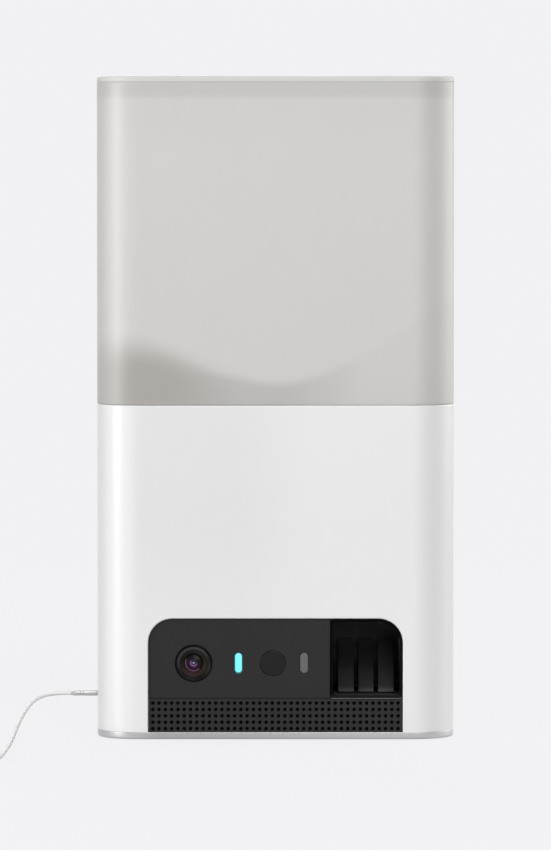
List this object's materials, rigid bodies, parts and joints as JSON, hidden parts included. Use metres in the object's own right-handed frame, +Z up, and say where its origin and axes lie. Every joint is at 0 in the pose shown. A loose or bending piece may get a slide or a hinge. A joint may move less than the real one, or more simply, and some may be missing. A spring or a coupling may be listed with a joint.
{
  "type": "treat tossing pet camera",
  "caption": "Tall rounded box with a frosted treat container over a white housing, a camera, lights, speaker grille and treat mouth in the black front, and a thin power lead.",
  "frame": {"origin": "on the floor, under the middle of the casing", "axes": "+X to the right as the front is looked at, +Y to the back, +Z up; the front looks along -Y"},
  "size_m": [0.2327, 0.1839, 0.269],
  "materials": {
    "metallic_base": "silver grey metallic paint on plastic",
    "foot_rubber": "soft",
    "screw_steel": "plain",
    "white_shell": "white, satin gloss",
    "frosted_shell": "frosted, lets light and dim shapes through",
    "insert_brass": "turned",
    "black_face": "black, semi gloss",
    "black_grille": "black, satin",
    "black_plastic": "black",
    "gasket_foam": "foam",
    "bezel_metal": "turned, satin",
    "lens_glass": "coated",
    "lit_slot": "lit cyan",
    "grey_slot": "clear over grey",
    "dark_window": "dark, smooth",
    "circuit_board": "solder mask",
    "white_inner": "moulded",
    "gear_plastic": "acetal",
    "motor_steel": "plated",
    "soft_silicone": "translucent silicone",
    "white_button": "moulded",
    "plug_metal": "nickel plated",
    "white_cord": "smooth jacket",
    "usb_grip": "moulded"
  },
  "bodies": {
    "casing": {"base_plate": "metallic_base", "rubber_feet": "foot_rubber", "base_screws": "screw_steel", "camera_board_screws": "screw_steel", "main_board_screws": "screw_steel", "toss_strap_screws": "screw_steel", "deck_screws": "screw_steel", "bracket_screws": "screw_steel", "feed_motor_screws": "screw_steel", "lower_housing": "white_shell", "treat_container": "frosted_shell", "wall_mount_inserts": "insert_brass", "front_fascia": "black_face", "speaker_grille": "black_grille", "toss_housing": "black_plastic", "speaker_driver": "black_plastic", "lens_barrel": "black_plastic", "power_socket": "black_plastic", "setup_switch": "black_plastic", "speaker_gasket": "gasket_foam", "lens_bezel": "bezel_metal", "lens_glass": "lens_glass", "status_light": "lit_slot", "infrared_light": "grey_slot", "sensor_window": "dark_window", "camera_board": "circuit_board", "main_board": "circuit_board", "drop_duct": "white_inner", "feed_deck": "white_inner", "hopper": "white_inner", "toss_motor": "motor_steel", "feed_motor": "motor_steel", "motor_bracket": "motor_steel", "toss_motor_strap": "motor_steel", "hinge_pin": "motor_steel", "power_plug": "plug_metal", "usb_plug_shell": "plug_metal", "cord_lead": "white_cord", "cord_coil": "white_cord", "cord_tail": "white_cord", "usb_plug_grip": "usb_grip"},
    "lid": {"lid_cover": "white_shell", "lid_seal": "soft_silicone"},
    "rotor": {"feed_rotor": "soft_silicone", "rotor_shaft": "motor_steel", "feed_wheel": "gear_plastic"},
    "rotor_pinion": {"feed_pinion": "gear_plastic"},
    "paddle": {"toss_paddle": "black_plastic", "toss_sector": "gear_plastic"},
    "paddle_pinion": {"toss_pinion": "gear_plastic"},
    "button": {"setup_button": "white_button"}
  },
  "joints": [
    {"name": "lid_hinge", "type": "hinge", "parent": "casing", "child": "lid", "pos_m": [0, 0.0314, 0.2668], "axis": [-1, 0, 0], "range_deg": [0, 100]},
    {"name": "rotor_spin", "type": "hinge", "parent": "casing", "child": "rotor", "pos_m": [0, 0, 0.118], "axis": [0, 0, 1], "continuous": true},
    {"name": "rotor_pinion_spin", "type": "hinge", "parent": "casing", "child": "rotor_pinion", "pos_m": [-0.0144, 0, 0.111], "axis": [0, 0, 1], "continuous": true},
    {"name": "paddle_kick", "type": "hinge", "parent": "casing", "child": "paddle", "pos_m": [0.02, -0.024, 0.0212], "axis": [1, 0, 0], "range_deg": [0, 45]},
    {"name": "paddle_pinion_spin", "type": "hinge", "parent": "casing", "child": "paddle_pinion", "pos_m": [0.0182, -0.0072, 0.0212], "axis": [1, 0, 0], "range_deg": [-360, 180]},
    {"name": "button_press", "type": "slide", "parent": "casing", "child": "button", "axis": [0, -1, 0], "range_m": [0, 0.0008], "stiffness_N_per_m": 400, "springref_m": -0.0005}
  ],
  "couplings": [
    {"joint": "rotor_pinion_spin", "follows": "rotor_spin", "ratio": -2},
    {"joint": "paddle_pinion_spin", "follows": "paddle_kick", "ratio": -2.5}
  ]
}
